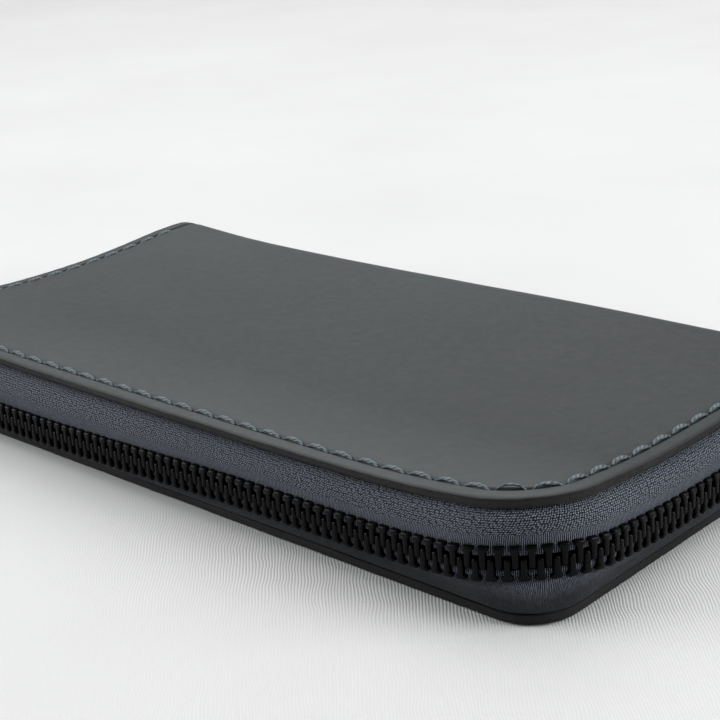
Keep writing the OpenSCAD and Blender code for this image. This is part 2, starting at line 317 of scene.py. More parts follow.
def cover_leather():
    """Smooth waxed leather: cloudy colour, fine pores, painted shade and painted reflection across the
    top, a stitching groove painted dark as shade, and a cut edge that shows layers of fibre under
    its wax, painted darker as shade on the lower cover."""
    tree = Tree("cover_leather")
    where = tree.where()
    cloud = tree.noise(where, 0.022, 3.0, 0.5)
    mottle = tree.noise(where, 0.5, 5.0, 0.62)
    pores = tree.add("TexVoronoi", {"Vector": where, "Scale": 2.2})["Distance"]
    fine = tree.noise(where, 6.0, 5.0, 0.65)
    tone = tree.blend(cloud, 0.7, mottle, 0.3)
    face = tree.ramp(tone, [(0.35, (0.0185, 0.0255, 0.0268)), (0.65, (0.0285, 0.0372, 0.0385))])
    # Painted shade across the middle and the right, and a lighter strip of painted reflection along the
    # front, in place of the leather's own reflections
    parts = tree.parts(where)
    painted_shade = tree.scaled(parts[0], -70, 60, 0.0, 0.6)
    painted_reflection = tree.scaled(parts[1], FRONT_Y + 26, FRONT_Y + 4, 0.0, 1.0)
    painted_shade = tree.product(painted_shade, tree.math("SUBTRACT", 1.0, painted_reflection))
    face = tree.mix(painted_shade, face, (0.0070, 0.0085, 0.0110, 1))
    face = tree.mix(tree.product(painted_reflection, 0.6), face, (0.056, 0.062, 0.063, 1))
    flat = tree.vector("MULTIPLY", where, (0.5, 0.5, 4))
    fibre = tree.noise(flat, 1.5, 6.0, 0.72)
    cut = tree.ramp(fibre, [(0.3, (0.004, 0.0042, 0.004)), (0.55, (0.015, 0.0145, 0.013)),
                            (0.75, (0.052, 0.047, 0.040))])
    # The lower cover's cut edge is painted darker, as painted shade where it faces the table
    low_edge_shade = tree.scaled(parts[2], 2.5, 5.0, 0.35, 1.0)
    cut = tree.mix(low_edge_shade, (0.002, 0.002, 0.002, 1), cut)
    rim = tree.attribute("rim")
    colour = tree.mix(rim, face, cut)
    # The stitching groove is painted nearly black, as painted shade in the recess
    colour = tree.mix(tree.attribute("groove"), colour, (0.004, 0.0045, 0.005, 1))
    rough = tree.sum(tree.scaled(mottle, 0.3, 0.7, 0.43, 0.52), tree.product(rim, 0.3))
    grain = tree.bump(tree.blend(pores, 0.4, fine, 0.6), 0.28, 0.00007)
    # Some stretches of the cut edge are rougher than others
    ragged = tree.scaled(tree.noise(where, 0.035, 2.0), 0.42, 0.58, 0.25, 1.0)
    torn = tree.product(tree.product(fibre, rim), ragged)
    return tree.shade(base_color=colour, roughness=rough, specular_ior_level=0.36,
                      normal=tree.bump(torn, 1.0, 0.0005, Normal=grain))


def thread():
    """Waxed linen thread: twisted plies with pale highlights on the crests."""
    tree = Tree("thread")
    twist = tree.add("TexWave", {"Vector": tree.uv(), "Scale": 0.55, "Distortion": 1.2,
                                 "Detail": 2.0, "Detail Scale": 1.5},
                     wave_type="BANDS", bands_direction="DIAGONAL")["Fac"]
    fuzz = tree.noise(tree.where(), 5.0, 4.0)
    colour = tree.ramp(tree.blend(twist, 0.6, fuzz, 0.4),
                       [(0.2, (0.022, 0.036, 0.043)), (0.85, (0.135, 0.185, 0.205))])
    return tree.shade(base_color=colour, roughness=0.36, sheen_weight=0.1,
                      normal=tree.bump(twist, 0.6, 0.00012))


def woven_tape(name, place):
    """Woven tape: fine ribs across it beside the teeth, a coarser pebbly weave towards the leather.
    place(tree) gives the distance along the tape and the distance from the teeth."""
    tree = Tree(name)
    along, across = place(tree)
    where = tree.add("CombineXYZ", {0: along, 1: across})[0]
    wobble = tree.noise(where, 1.6, 3.0)
    shaky = tree.sum(along, tree.product(wobble, 0.16))
    rib = tree.wave(shaky, 0.34)
    nodes = tree.noise(where, 4.5, 2.0)
    rib = tree.product(rib, tree.scaled(nodes, 0.35, 0.65, 0.55, 0.9))
    # Pebbles: the floats of the coarser weave, a little out of line with each other
    leaning = tree.add("CombineXYZ", {
        0: tree.sum(along, tree.product(across, 0.5)),
        1: tree.product(across, 1.25)})[0]
    cell = tree.add("TexVoronoi", {"Vector": leaning, "Scale": 1.95, "Randomness": 0.42},
                voronoi_dimensions="2D")["Distance"]
    pebble = tree.scaled(cell, 0.04, 0.57, 1.0, 0.0)
    coarse = tree.scaled(tree.sum(across, tree.product(wobble, 0.5)), 2.9, 3.3, 0.0, 1.0)
    height = tree.mix(coarse, rib, pebble)
    yarn = tree.noise(where, 7.0, 3.0)
    light = tree.blend(height, 0.8, yarn, 0.2)
    # The colour follows the weave's height: painted highlights on the crests and painted shade between
    # them
    colour = tree.ramp(light, [(0.15, (0.012, 0.0135, 0.019)), (0.5, (0.082, 0.091, 0.117)),
                               (0.88, (0.490, 0.540, 0.650))])
    # The tape is painted darker low down, towards the lower cover, as painted shade
    painted_low_shade = tree.scaled(tree.parts(tree.where())[2], 4.5, 7.5, 0.78, 0.0)
    colour = tree.mix(painted_low_shade, colour, (0.006, 0.006, 0.007, 1))
    return tree.shade(base_color=colour, roughness=0.62, specular_ior_level=0.15, sheen_weight=0.05,
                      normal=tree.bump(height, 1.0, 0.00030))


def main_tape_place(tree):
    """The UV map of the main tapes holds both distances."""
    return tree.parts(tree.uv())[:2]


def coin_tape_place(tree):
    """The coin zip runs along X, and its tapes stand up from the middle height."""
    parts = tree.parts(tree.where())
    rise = tree.math("SUBTRACT", parts[2], MID)
    return parts[0], tree.math("ABSOLUTE", rise)


def moulded_black(name, colour, roughness, scratch, shine):
    """Glossy black: moulded teeth or lacquered metal, with faint flow marks and handling wear."""
    tree = Tree(name)
    where = tree.where()
    marks = tree.noise(where, 2.2, 5.0, 0.6)
    fine = tree.noise(where, 9.0, 3.0)
    dark = tuple(c * 0.7 for c in colour)
    return tree.shade(base_color=tree.ramp(marks, [(0.3, dark), (0.75, colour)]),
                      roughness=tree.scaled(marks, 0.3, 0.7, roughness, roughness + 0.14),
                      specular_ior_level=shine, normal=tree.bump(fine, scratch, 0.00004))


def lining_cloth():
    """Fine twill lining cloth, woven in object space."""
    tree = Tree("lining")
    per_mm = 1.6
    where = tree.where()
    parts = tree.parts(where)
    slant = tree.sum(parts[0], tree.product(parts[1], 0.6))
    wale = tree.math("SINE", tree.product(slant, 2 * math.pi * per_mm))
    pick = tree.math("SINE", tree.product(parts[1], 3.1 * math.pi * per_mm))
    weave = tree.scaled(tree.sum(wale, tree.product(pick, 0.5)), -1.5, 1.5, 0, 1)
    cloud = tree.noise(where, 0.12, 4.0)
    value = tree.blend(weave, 0.55, cloud, 0.45)
    colour = tree.ramp(value, [(0.2, (0.030, 0.035, 0.046)), (0.85, (0.075, 0.085, 0.110))])
    return tree.shade(base_color=colour, roughness=0.7, sheen_weight=0.25,
                      normal=tree.bump(weave, 0.5, 0.0001))


def inner_leather():
    """The inside's matt leather, with a small pebble grain."""
    tree = Tree("inner_leather")
    where = tree.where()
    pebble = tree.add("TexVoronoi", {"Vector": where, "Scale": 1.5}, feature="SMOOTH_F1")["Distance"]
    cloud = tree.noise(where, 0.08, 4.0)
    fine = tree.noise(where, 5.0, 4.0)
    colour = tree.ramp(cloud, [(0.3, (0.050, 0.054, 0.058)), (0.7, (0.070, 0.075, 0.080))])
    grain = tree.sum(pebble, tree.product(fine, 0.4))
    return tree.shade(base_color=colour, roughness=tree.scaled(fine, 0.3, 0.7, 0.50, 0.62),
                      normal=tree.bump(grain, 0.35, 0.00012))


def fibre_board():
    tree = Tree("board")
    fibre = tree.noise(tree.where(), 1.8, 6.0, 0.7)
    colour = tree.ramp(fibre, [(0.3, (0.17, 0.16, 0.145)), (0.7, (0.30, 0.29, 0.265))])
    return tree.shade(base_color=colour, roughness=0.85, normal=tree.bump(fibre, 0.4, 0.0001))


LEATHER_MAT = cover_leather()
THREAD_MAT = thread()
TAPE_MAT = woven_tape("zip_tape", main_tape_place)
COIN_TAPE_MAT = woven_tape("coin_tape", coin_tape_place)
TEETH_MAT = moulded_black("zip_teeth", (0.0014, 0.0014, 0.0017), 0.22, 0.25, 0.09)
PULL_MAT = moulded_black("pull_metal", (0.008, 0.0085, 0.0095), 0.2, 0.15, 0.5)
LINING_MAT = lining_cloth()
INNER_MAT = inner_leather()
BOARD_MAT = fibre_board()


# ---- Camera, light and floor ----

# The camera and the floor are both turned towards the wallet's corner
FACING = Matrix.Rotation(math.radians(44.6), 4, "Z")


def camera():
    """A short telephoto view at the front right corner, from a little above the table."""
    elevation, roll = math.radians(19.6), math.radians(-4.1)
    place = Vector((HALF_L + 131.3, FRONT_Y - 169.0, 123.6)) * MM
    data = bpy.data.cameras.new("camera")
    data.lens = 78.05
    data.sensor_width = 36.0
    data.clip_start = 0.01
    obj = new_object("camera", data)
    turn = FACING @ Matrix.Rotation(math.pi / 2 - elevation, 4, "X") @ Matrix.Rotation(roll, 4, "Z")
    obj.matrix_world = Matrix.Translation(place) @ turn
    bpy.context.scene.camera = obj


def area_light(name, place, size, power, colour=(1, 1, 1)):
    """A rectangular light that shines at the wallet."""
    data = bpy.data.lights.new(name, "AREA")
    data.shape = "RECTANGLE"
    data.size, data.size_y = size
    data.energy = power
    data.color = colour
    obj = new_object(name, data)
    obj.location = place
    obj.rotation_euler = (-Vector(place)).to_track_quat("-Z", "Y").to_euler()


def lights():
    """Bright from behind, above and both sides, and dimmer from where the camera stands."""
    area_light("window_left", (-0.95, -0.75, 0.5), (0.8, 0.6), 10.0, (0.96, 0.98, 1.0))
    area_light("window_right", (1.05, 0.6, 0.5), (0.8, 0.6), 12.0, (0.96, 0.98, 1.0))
    area_light("top_back", (-0.7, 0.8, 1.0), (1.2, 0.9), 4.0)
    area_light("top", (-0.1, 0.35, 1.5), (1.4, 1.4), 8.5)
    tree = Tree("studio", bpy.data.worlds)
    facing = tree.vector("DOT_PRODUCT", tree.add("TexCoord")["Generated"], (0.69, -0.70, 0.15), "Value")
    shade = tree.ramp(tree.scaled(facing, -1, 1, 0, 1),
                      [(0.45, (0.95, 0.96, 0.97)), (0.9, (0.12, 0.12, 0.13))])
    background = tree.nodes["Background"].inputs
    tree.put(background["Color"], shade)
    tree.put(background["Strength"], 0.6)
    bpy.context.scene.world = tree.owner
    # Plain photographic tones, so that black teeth stay black
    bpy.context.scene.view_settings.view_transform = "Standard"


def floor():
    """A pale linen sheet that curves up behind the wallet."""
    tree = Tree("pale_floor")
    where = tree.where()
    cloud = tree.noise(where, 0.01, 3.0)
    cloth = tree.ramp(cloud, [(0.3, (0.72, 0.714, 0.706)), (0.7, (0.76, 0.755, 0.749))])
    threads = []
    for direction, pitch, seed in (((0.712, 0.702, 0), 0.54, 0.11), ((-0.702, 0.712, 0), 0.48, 0.13)):
        run = tree.vector("DOT_PRODUCT", where, direction, "Value")
        loose = tree.product(tree.noise(where, seed, 1.0), 1.5)
        threads.append(tree.wave(tree.sum(run, loose), pitch))
    weave = tree.blend(threads[0], 0.7, threads[1], 0.3)
    # The weave fades away from the wallet's near corner, where it would only shimmer
    reach = tree.vector("DISTANCE", where, (HALF_L, FRONT_Y, 0.0), "Value")
    near = tree.scaled(reach, 15.0, 130.0, 1.0, 0.0)
    weave = tree.product(weave, near)
    tree.shade(base_color=tree.mix(tree.product(weave, 0.20), cloth, (0.52, 0.50, 0.48, 1)),
               roughness=0.9, normal=tree.bump(weave, 0.35, 0.0002))
    half, back_y, curve, height = 2500.0, 1300.0, 500.0, 1500.0
    profile = [(-half, 0.0), (back_y, 0.0)]
    for i in range(1, 17):
        turn = math.pi / 2 * i / 16
        profile.append((back_y + curve * math.sin(turn), curve * (1 - math.cos(turn))))
    profile.append((back_y + curve, height))
    verts = [FACING @ Vector((x, y, z - 0.02)) for y, z in profile for x in (-half, half)]
    make("floor", verts, grid_faces(len(profile), 2), tree.owner)


# ---- Outline of a cover ----

# The rings of every sheet have their points at these stations, from the right end of the spine
# round the front to the left end: (stretch, share of that stretch), side, corner, front and so on
STEPS = (60, 20, 130, 20, 60)
STATIONS = [(stretch, i / count) for stretch, count in enumerate(STEPS) for i in range(count)]
STATIONS.append((4, 1.0))


def at_station(station, radius, out):
    """(x, y, normal x, normal y) of a station on the outline with that corner radius, out from it."""
    stretch, share = station
    if stretch > 2:
        x, y, nx, ny = at_station((4 - stretch, 1 - share), radius, out)
        return -x, y, -nx, ny
    corner_x, corner_y = HALF_L - radius, FRONT_Y + radius
    if stretch == 0:
        return HALF_L + out, SPINE_Y + (corner_y - SPINE_Y) * share, 1.0, 0.0
    if stretch == 1:
        turn = math.pi / 2 * share
        reach = radius + out
        return (corner_x + reach * math.cos(turn), corner_y - reach * math.sin(turn),
                math.cos(turn), -math.sin(turn))
    return corner_x * (1 - 2 * share), FRONT_Y - out, 0.0, -1.0


def side_length(radius):
    return SPINE_Y - FRONT_Y - radius


def run_length(radius, out):
    """Length of the outline's offset curve from the right end of the spine to the left."""
    return 2 * side_length(radius) + math.pi * (radius + out) + 2 * (HALF_L - radius)


def along(s, radius, out):
    """(x, y, normal x, normal y) after s millimetres of that curve."""
    total = run_length(radius, out)
    if s > total / 2:
        x, y, nx, ny = along(total - s, radius, out)
        return -x, y, -nx, ny
    side, arc = side_length(radius), math.pi / 2 * (radius + out)
    if s < side:
        return at_station((0, s / side), radius, out)
    if s < side + arc:
        return at_station((1, (s - side) / arc), radius, out)
    return at_station((2, (s - side - arc) / (2 * (HALF_L - radius))), radius, out)


# ---- The leather: both covers and the spine ----
# The sheet is laid out flat as (x, v, height): v is the distance from the middle of the spine,
# towards the upper cover, and height is measured out of the sheet's outer face.

def hollow(x, y):
    """Slow unevenness of the leather's faces, up to about a third of a millimetre."""
    wide = noise.noise(Vector((x * 0.016, y * 0.022, 3.7)))
    small = noise.noise(Vector((x * 0.05, y * 0.05, 8.1)))
    return 0.42 * wide + 0.10 * small


def folded(x, v, height):
    """Folds a point of the flat sheet round the worn wallet."""
    y, z = SPINE_Y + SPINE_ARC - abs(v), TOP + height if v > 0 else -height
    if abs(v) <= SPINE_ARC:
        turn, radius = v / SPINE_R, SPINE_R + height
        y, z = SPINE_Y + radius * math.cos(turn), MID + radius * math.sin(turn)
    if v > 0:
        inner = smooth(0, 12, HALF_L - abs(x)) * smooth(0, 12, y - FRONT_Y)
        z += hollow(x, y) * inner * smooth(0, SPINE_ARC, v)
    return bend((x, y, z))


# The leather's edge, as (distance in from the outline, height): over the top from the inside,
# down and up through the stitching groove, round the burnished edge, and back underneath
EDGE_PROFILE = [
    (9.0, 0.0), (7.0, 0.03), (5.6, 0.05), (4.7, 0.03), (4.3, -0.03), (4.08, -0.14), (3.98, -0.5),
    (3.7, -0.68), (3.35, -0.66), (3.12, -0.36), (3.0, -0.1), (2.8, 0.0), (2.3, 0.02), (1.5, -0.01),
    (1.0, -0.04), (0.6, -0.09), (0.34, -0.19), (0.15, -0.37), (0.07, -0.56), (0.13, -0.65),
    (0.02, -0.78), (0.0, -1.2), (0.02, -1.65), (0.1, -1.9), (0.32, -1.98), (0.8, -2.0),
    (3.0, -2.0), (9.0, -2.0),
]
GROOVE_FROM, GROOVE_TO = 6, 9
WORN_FROM = 14
RIM_FROM, RIM_TO = 17, 23
CUT_FROM, CUT_TO = 21, 24
SPINE_STEPS = 12


def half_ring(upper, inset):
    """Points (x, v) along the edge of one half of the sheet, from the middle of the spine on the
    right, round the front, to the middle of the spine on the left."""
    radius = COVER_RADIUS[upper]
    sign = 1 if upper else -1
    arc = [SPINE_ARC * i / SPINE_STEPS for i in range(SPINE_STEPS)]
    points = [(HALF_L - inset, sign * v) for v in arc]
    for station in STATIONS:
        x, y, _, _ = at_station(station, radius, -inset)
        points.append((x, sign * (SPINE_ARC + SPINE_Y - y)))
    points += [(inset - HALF_L, sign * v) for v in reversed(arc)]
    return points


def fill_points(upper, inset):
    """Points (x, v) inside the innermost ring, and those on the middle of the spine."""
    sign = 1 if upper else -1
    radius = COVER_RADIUS[upper]
    limit = HALF_L - inset
    columns = 64
    xs = [limit * (2 * i / columns - 1) for i in range(1, columns)]
    middle = [(x, 0.0) for x in xs]
    vs = [SPINE_ARC * i / SPINE_STEPS for i in range(1, SPINE_STEPS + 1)]
    depth = SPINE_Y - FRONT_Y - inset
    rows = 30
    vs += [SPINE_ARC + depth * i / rows for i in range(1, rows)]
    inside = []
    for v in vs:
        for x in xs:
            y = SPINE_Y - (v - SPINE_ARC)
            corner = Vector((max(abs(x) - HALF_L + radius, 0), max(FRONT_Y + radius - y, 0)))
            if corner.length < radius - inset - 1.0 or not (corner.x and corner.y):
                inside.append((x, sign * v))
    return middle, inside


def leather_half(upper):
    """One cover with its half of the spine, as a shell with a finished edge, left open along the middle
    of the spine where the other half meets it.
    """
    rings = [half_ring(upper, inset) for inset, _ in EDGE_PROFILE]
    count = len(rings[0])
    verts, rims, groove_shade = [], [], []
    for i, (inset, height) in enumerate(EDGE_PROFILE):
        for x, v in rings[i]:
            # The edge is never quite even by hand
            place = Vector((x * 0.11, v * 0.11, 1.0 if upper else 2.0))
            wobble = noise.noise(place) * 0.10 + noise.noise(place * 5) * 0.06
            wobble += noise.noise(place * 14 + Vector((0, 0, i * 0.4))) * 0.04 * (i >= WORN_FROM)
            outer = smooth(0, 3, inset)
            level = height + wobble * (1 - outer) * (height > -1.9)
            if CUT_FROM <= i <= CUT_TO:
                # The cut edge is pared away underneath, least where the corner curls up
                corner = math.hypot(abs(x) - HALF_L, SPINE_ARC + SPINE_Y - abs(v) - FRONT_Y)
                level *= 1 - 0.28 * (1 - bell(corner, 22)) * upper
            # The lower cover lies flat on the table
            verts.append(folded(x, v, level if upper or abs(v) < SPINE_ARC else min(level, 0.0)))
            rims.append(float(RIM_FROM <= i <= RIM_TO))
            # The stitching groove's rings are marked to take painted shade
            sewn = abs(v) > SPINE_ARC - 2
            groove_shade.append(float(sewn and GROOVE_FROM <= i <= GROOVE_TO))
    faces = grid_faces(len(rings), count)
    # The field inside the innermost ring, on the outer face and on the inner one
    middle, inside = fill_points(upper, EDGE_PROFILE[0][0])
    border = count + len(middle)
    edges = [(i, (i + 1) % border) for i in range(border)]
    flat = [Vector(p) for p in rings[0] + middle + inside]
    points, _, triangles, originals, _, _ = delaunay_2d_cdt(flat, edges, [], 1, 1e-5)
    last = (len(rings) - 1) * count
    outside, under = [], []
    for (x, v), source in zip(points, originals):
        on_ring = [i for i in source if i < count]
        if on_ring:
            outside.append(on_ring[0])
            under.append(last + on_ring[0])
            continue
        outside.append(len(verts))
        under.append(len(verts) + 1)
        verts += [folded(x, v, 0.0), folded(x, v, -LEATHER)]
        rims += [0.0, 0.0]
        groove_shade += [0.0, 0.0]
    for triangle in triangles:
        faces.append(tuple(outside[k] for k in triangle))
        faces.append(tuple(under[k] for k in reversed(triangle)))
    obj = make(f"leather_{NAMES[upper]}", verts, faces, LEATHER_MAT)
    fix_normals(obj)
    meet_smoothly(obj)
    for key, values in (("rim", rims), ("groove", groove_shade)):
        obj.data.attributes.new(key, "FLOAT", "POINT").data.foreach_set("value", values)
    return obj


def meet_smoothly(obj):
    """Gives both halves of the leather the same normals where they meet behind the spine."""
    normals = [vertex.normal.copy() for vertex in obj.data.vertices]
    for i, vertex in enumerate(obj.data.vertices):
        x, y, z = vertex.co / MM
        if abs(z - MID) < 1e-3 and y > SPINE_Y and abs(x) < HALF_L - 1:
            normals[i] = Vector((0, 1 if y > SPINE_Y + SPINE_R - LEATHER / 2 else -1, 0))
    obj.data.normals_split_custom_set_from_vertices(normals)


def covers():
    """Makes both halves of the leather, each a cover with its half of the spine, in place of the CAD
    covers and spine halves, which it hides."""
    for upper, first, second, start, end in ((False, "lower", "purse", 3, MID),
                                             (True, "purse", "upper", MID, TOP - 3)):
        name = NAMES[upper]
        obj = leather_half(upper)
        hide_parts(f"cover_{name}", f"spine_{name}")
        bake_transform(obj)


# ---- Saddle stitching ----

def stitch(builder, start, end, base, rise, width):
    """One stitch of twisted thread between two (x, v) points: it comes up out of a hole, arches
    over the groove's inner edge and goes down into the next."""
    steps, sides = 16, 12
    length = (Vector(end) - Vector(start)).length
    across = Vector((end[1] - start[1], start[0] - end[0])).normalized()
    verts, uvs = [], []
    for i in range(steps + 1):
        t = i / steps
        # Steep at both ends, flat along the top
        arch = 1 - abs(2 * t - 1) ** 2.6
        fat = 0.55 + 0.45 * (1 - abs(2 * t - 1) ** 2.2)
        x = start[0] + (end[0] - start[0]) * t
        v = start[1] + (end[1] - start[1]) * t
        for j in range(sides):
            turn = 2 * math.pi * j / sides
            # Three plies wind round each other
            ply = 1 + 0.12 * math.cos(3 * (turn - 4.5 * t))
            side = math.cos(turn) * width / 2 * fat * ply
            tall = math.sin(turn) * width * 0.33 * fat * ply
            verts.append(folded(x + across.x * side, v + across.y * side, base + rise * arch + tall))
            uvs.append((t * length, turn / (2 * math.pi) * width * 3))
    builder.add(verts, tube_faces(steps + 1, sides), uvs)


def stitching(upper):
    """The row of stitches round one cover, with a longer, slack one at the right corner."""
    radius = COVER_RADIUS[upper]
    sign = 1 if upper else -1
    # The lower row stays inside its groove, so that the wallet lies flat on leather
    base, rise, width = (-0.48, 0.62, 0.95) if upper else (-0.62, 0.28, 0.80)
    inset = STITCH_INSET + (0.22 if upper else -0.12)
    # The stitches are counted from the middle of the right corner
    start = side_length(radius) + math.pi / 4 * (radius - inset)
    total = run_length(radius, -inset)
    first = -int((start - 1) / STITCH_PITCH)
    last = int((total - 1 - start) / STITCH_PITCH)

    def place(s, shift):
        x, y, nx, ny = along(s, radius, -inset)
        return x + nx * shift, sign * (SPINE_ARC + SPINE_Y - y - ny * shift)

    builder = Builder()
    for k in range(first, last):
        s0 = start + k * STITCH_PITCH
        loose = upper and k == 0
        uneven = noise.noise(Vector((k * 3.3, radius, 0.0)))
        slant = 0.20 + 0.05 * uneven if upper else 0.1
        stitch(builder, place(s0 + 0.5, slant), place(s0 + STITCH_PITCH - 0.35, -slant),
               base, rise + 0.08 * uneven + (0.40 if loose else 0.0),
               width * (0.62 if loose else 1 + 0.08 * uneven))
    name = NAMES[upper]
    place_piece(builder.finish(f"stitches_{name}", THREAD_MAT, with_uvs=True), "thread", name,
                f"stitching_{name}")


# ---- Zip tapes ----

# The tape's middle line, as (share, out): the share of the way from the cover's inner face to
# the teeth, and past 1 the millimetres in under the teeth.
# It lies flat under the cover, comes out under its edge, swells and meets the teeth
UNDER_COVER = [(0.0, -9.0), (0.0, -6.0), (0.0, -3.0), (0.0, -1.6)]
UNDER_TEETH = [(1.0, 0.87), (1.4, 0.86), (1.8, 0.86), (2.3, 0.86)]
TAPE_LINES = (
    UNDER_COVER + [(0.01, -1.0), (0.04, -0.5), (0.1, 0.0), (0.2, 0.45), (0.32, 0.75), (0.5, 0.92),
                   (0.68, 0.96), (0.84, 0.92)] + UNDER_TEETH,
    UNDER_COVER + [(0.02, -0.9), (0.07, -0.2), (0.15, 0.42), (0.25, 0.85), (0.38, 1.12), (0.52, 1.22),
                   (0.66, 1.18), (0.80, 1.05), (0.92, 0.92)] + UNDER_TEETH,
)


def tape_rows(upper):
    """The tape's middle line at every station: (length so far, normal, points)."""
    face = TOP - LEATHER - TAPE_T / 2 if upper else LEATHER + TAPE_T / 2
    inwards = -1 if upper else 1
    cover_radius = COVER_RADIUS[upper]
    rows, travelled, previous = [], 0.0, None
    for station in STATIONS:
        x0, y0, nx, ny = at_station(station, RADIUS_CHAIN, 0.9)
        here = Vector((x0, y0))
        if previous is not None:
            travelled += (here - previous).length
        previous = here
        # Where the teeth begin, seen from this tape
        chain_edge = chain_height(x0, y0) - inwards * (CHAIN_W / 2 - 0.4)
        points = []
        for share, out in TAPE_LINES[upper]:
            radius = cover_radius + (RADIUS_CHAIN - cover_radius) * smooth(0.0, 1.0, share)
            swell = 0.12 * noise.noise(Vector((travelled * 0.05, share * 2, 5.5 if upper else 9.5)))
            x, y, _, _ = at_station(station, radius, out + swell * smooth(0, 0.3, share))
            z = face + (chain_edge - face) * min(share, 1.0) + inwards * max(share - 1.0, 0.0)
            points.append(Vector((x, y, z)))
        rows.append((travelled, Vector((nx, ny, 0)), points))
    return rows


def tape(upper):
    """One woven tape, a closed strip round three sides of the wallet."""
    name = NAMES[upper]
    line, middle_rows = TAPE_LINES[upper], tape_rows(upper)
    # Distance across the tape, counted back from the teeth
    reference = middle_rows[len(middle_rows) // 2][2]
    reach = [0.0]
    for here, there in zip(reference, reference[1:]):
        reach.append(reach[-1] + (there - here).length)
    teeth_begin = reach[[share for share, _ in line].index(1.0)]
    across = [teeth_begin - value for value in reach]
    rows, uvs = [], []
    for travelled, normal, points in middle_rows:
        sideways = normal.cross(Vector((0, 0, 1))).normalized()
        outer, inner = [], []
        for k, here in enumerate(points):
            before, after = points[max(k - 1, 0)], points[min(k + 1, len(points) - 1)]
            out = (after - before).normalized().cross(sideways).normalized()
            if out.dot(normal + Vector((0, 0, 0.3 if upper else -0.3))) < 0:
                out = -out
            # The tape's edge is woven round a cord, which the teeth grip
            half = TAPE_T / 2 + 0.24 * smooth(0.9, 1.4, line[k][0])
            outer.append(bend(here + out * half))
            inner.append(bend(here - out * half))
        rows.append(outer + inner[::-1])
        uvs += [(travelled, value) for value in across + across[::-1]]
    obj = make(f"tape_{name}", *swept(rows), TAPE_MAT, uvs)
    fix_normals(obj)
    place_piece(obj, "zip_tape", name, f"zip_tape_{name}")


# ---- Zip teeth ----

# Half of a tooth's outline, as (half width along the row, distance from the row's middle):
# a broad base that grips the tape, a waist, a head and a rounded tip
TOOTH_HALF = [
    (0.70, -3.0), (0.90, -2.93), (0.98, -2.76), (0.98, -2.48), (0.90, -2.30), (0.72, -2.16),
    (0.62, -1.9), (0.58, -1.2), (0.57, -0.3), (0.56, 0.35), (0.50, 0.70), (0.30, 0.92),
]


def tooth_mesh():
    """Points (along the row, out, up) and faces of one tooth of the lower row."""
    outline = TOOTH_HALF + [(-w, h) for w, h in reversed(TOOTH_HALF)]
    # Sections from the flat back inside the tape to the shallow ridge down the front: (share of
    # the width, share of the height towards the tooth's middle, out)
    sections = [(0.80, 0.96, -1.2), (1.0, 1.0, -0.95), (1.0, 1.0, 0.35), (1.0, 1.0, 0.82),
                (0.93, 0.985, 1.04), (0.78, 0.955, 1.2), (0.42, 0.82, 1.27)]
    middle = -1.1
    return swept([[(w * wide, out, middle + (h - middle) * tall) for w, h in outline]
                  for wide, tall, out in sections])


def teeth_row(upper, run):
    """The teeth on one tape: those of the straight run beside the slider, or all the others."""
    name = NAMES[upper]
    side = side_length(COVER_RADIUS[True])
    total = run_length(RADIUS_CHAIN, CHAIN_OUT)
    s = SPINE_Y - box_mm("zip_teeth_upper_run")[1].y + 0.85 + (0 if upper else TOOTH_PITCH / 2)
    pattern, faces = tooth_mesh()
    builder = Builder()
    while s < total - 9:
        if (s < side) == run:
            x, y, nx, ny = along(s, RADIUS_CHAIN, CHAIN_OUT)
            height = chain_height(x, y)
            shake = noise.noise(Vector((s * 1.7, 0.3 if upper else 0.8, 0.0)))
            tilt = 0.02 * shake
            points = []
            for a, o, h in pattern:
                a, h = a + tilt * h, h + 0.04 * shake
                up = -h if upper else h
                # The row runs along the tangent (-ny, nx) turned to follow s
                p = Vector((x + nx * o + ny * a, y + ny * o - nx * a, height + up))
                points.append(bend_rigid(p, (x, y, height)))
            builder.add(points, faces)
        s += TOOTH_PITCH
    suffix = "_run" if run else ""
    obj = builder.finish(f"teeth_{name}{suffix}", TEETH_MAT)
    fix_normals(obj)
    place_piece(obj, "zip_teeth", name, f"zip_teeth_{name}{suffix}")


def bend_rigid(p, anchor):
    """Moves a point of a stiff piece as bend() moves the piece's middle, tilted to suit."""
    x, y, z = anchor
    moved = bend(Vector(anchor))
    slope_x = (bend(Vector((x + 1, y, z))).z - bend(Vector((x - 1, y, z))).z) / 2
    slope_y = (bend(Vector((x, y + 1, z))).z - bend(Vector((x, y - 1, z))).z) / 2
    return Vector((p.x, p.y, p.z + moved.z - z + slope_x * (p.x - x) + slope_y * (p.y - y)))


# ---- Rounded copies of CAD pieces ----

def rounded_copy(cad_node, name, material, body, slot_name, width):
    """A copy of a CAD piece with its edges rounded, which rides where the piece does."""
    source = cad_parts[cad_node]
    mesh = bmesh.new()
    mesh.from_mesh(source.data)
    bmesh.ops.remove_doubles(mesh, verts=mesh.verts, dist=1e-6)
    bmesh.ops.dissolve_limit(mesh, angle_limit=math.radians(1.5), verts=mesh.verts, edges=mesh.edges)
    sharp = [e for e in mesh.edges if e.calc_face_angle(0) > math.radians(25)]
    bmesh.ops.bevel(mesh, geom=sharp, offset=width * MM, segments=3, profile=0.5,
                    affect="EDGES", clamp_overlap=True)
    data = bpy.data.meshes.new(name)
    mesh.to_mesh(data)
    mesh.free()
    data.materials.append(material)
    data.polygons.foreach_set("use_smooth", [True] * len(data.polygons))
    data.set_sharp_from_angle(angle=math.radians(40))
    place_piece(new_object(name, data), slot_name, body, cad_node)


